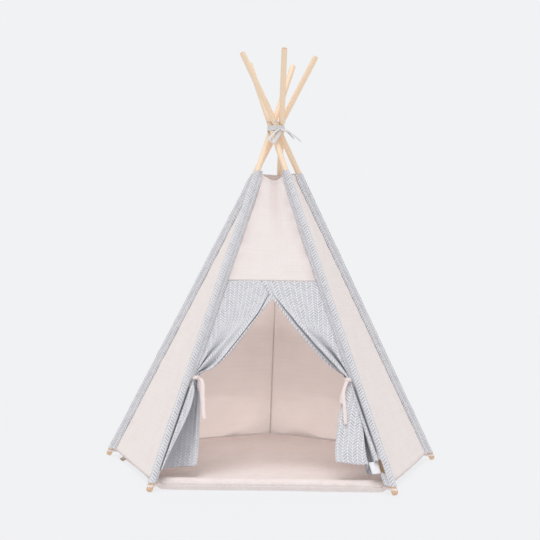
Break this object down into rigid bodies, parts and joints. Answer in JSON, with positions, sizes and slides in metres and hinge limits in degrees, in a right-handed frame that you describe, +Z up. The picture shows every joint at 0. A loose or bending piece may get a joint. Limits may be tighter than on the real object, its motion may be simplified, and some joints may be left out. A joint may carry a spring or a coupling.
{
  "type": "play tent",
  "caption": "Children's play tent: leaning wooden poles laced together near the top, a sewn cloth cover with sleeves over the poles, tied-back doorway curtains and a padded floor mat.",
  "frame": {"origin": "on the floor, on the tent's vertical axis, at the middle of the mat's underside", "axes": "+Z up along the tent's axis, -Y out of the doorway, +X to the right of someone who looks in through it"},
  "size_m": [1.3434, 1.291, 1.5921],
  "materials": {
    "pale_pine": "smooth unvarnished softwood",
    "pale_pink_cotton": "matt woven cotton with a faint diamond weave",
    "grey_herringbone_cotton": "matt cotton, grey and white herringbone",
    "pale_pink_plush": "short soft plush",
    "pink_ribbon": "matt cotton tape",
    "light_grey_ribbon": "matt cotton tape",
    "white_cord": "braided cord",
    "white_satin_label": "smooth woven label",
    "brown_leather": "matt leather"
  },
  "bodies": {
    "mat": {"mat": "pale_pink_plush", "mat_tie_back": "pink_ribbon", "mat_tie_left_side": "pink_ribbon", "mat_tie_front_left": "pink_ribbon", "mat_tie_front_right": "pink_ribbon", "mat_tie_right_side": "pink_ribbon"},
    "hub": {"lashing_cord": "white_cord", "tie_band": "light_grey_ribbon", "tie_bow": "light_grey_ribbon"},
    "back_pole": {"pole_back": "pale_pine", "sleeve_back": "grey_herringbone_cotton", "wall_back_left": "pale_pink_cotton", "wall_back_right": "pale_pink_cotton"},
    "left_side_pole": {"pole_left_side": "pale_pine", "sleeve_left_side": "grey_herringbone_cotton", "wall_left": "pale_pink_cotton", "hem_tab": "brown_leather"},
    "front_left_pole": {"pole_front_left": "pale_pine", "sleeve_front_left": "grey_herringbone_cotton", "front_panel": "pale_pink_cotton", "curtain_left": "grey_herringbone_cotton", "tieback_left": "pink_ribbon", "tieback_left_ends": "pink_ribbon"},
    "front_right_pole": {"pole_front_right": "pale_pine", "sleeve_front_right": "grey_herringbone_cotton", "curtain_right": "grey_herringbone_cotton", "tieback_right": "pink_ribbon", "tieback_right_ends": "pink_ribbon", "label_care": "white_satin_label", "label_leather": "brown_leather"},
    "right_side_pole": {"pole_right_side": "pale_pine", "sleeve_right_side": "grey_herringbone_cotton", "wall_right": "pale_pink_cotton"}
  },
  "joints": [
    {"name": "tent_lift", "type": "slide", "parent": "mat", "child": "hub", "axis": [0, 0, 1], "range_m": [0, 0.59]},
    {"name": "back_pole_fold", "type": "hinge", "parent": "hub", "child": "back_pole", "pos_m": [0.02095, -0.01391, 1.334], "axis": [-1, 0, 0], "range_deg": [0, 24], "deforming": ["sleeve_back", "wall_back_left", "wall_back_right", "mat_tie_back", "mat_tie_left_side", "mat_tie_front_left", "mat_tie_front_right", "mat_tie_right_side", "tie_band", "tie_bow"]},
    {"name": "left_side_pole_fold", "type": "hinge", "parent": "hub", "child": "left_side_pole", "pos_m": [0.01971, 0.01562, 1.334], "axis": [-0.309, -0.9511, 0], "range_deg": [0, 24], "deforming": ["sleeve_left_side", "wall_left", "hem_tab"]},
    {"name": "front_left_pole_fold", "type": "hinge", "parent": "hub", "child": "front_left_pole", "pos_m": [-0.00877, 0.02357, 1.334], "axis": [0.809, -0.5878, 0], "range_deg": [0, 24], "deforming": ["sleeve_front_left", "front_panel", "curtain_left", "tieback_left", "tieback_left_ends"]},
    {"name": "front_right_pole_fold", "type": "hinge", "parent": "hub", "child": "front_right_pole", "pos_m": [-0.02513, -0.00106, 1.334], "axis": [0.809, 0.5878, 0], "range_deg": [0, 24], "deforming": ["sleeve_front_right", "curtain_right", "tieback_right", "tieback_right_ends", "label_care", "label_leather"]},
    {"name": "right_side_pole_fold", "type": "hinge", "parent": "hub", "child": "right_side_pole", "pos_m": [-0.00676, -0.02422, 1.334], "axis": [-0.309, 0.9511, 0], "range_deg": [0, 24], "deforming": ["sleeve_right_side", "wall_right"]}
  ],
  "couplings": [
    {"joint": "tent_lift", "follows": "back_pole_fold", "m_per_rad": 1.4},
    {"joint": "left_side_pole_fold", "follows": "back_pole_fold", "ratio": 1},
    {"joint": "front_left_pole_fold", "follows": "back_pole_fold", "ratio": 1},
    {"joint": "front_right_pole_fold", "follows": "back_pole_fold", "ratio": 1},
    {"joint": "right_side_pole_fold", "follows": "back_pole_fold", "ratio": 1}
  ]
}
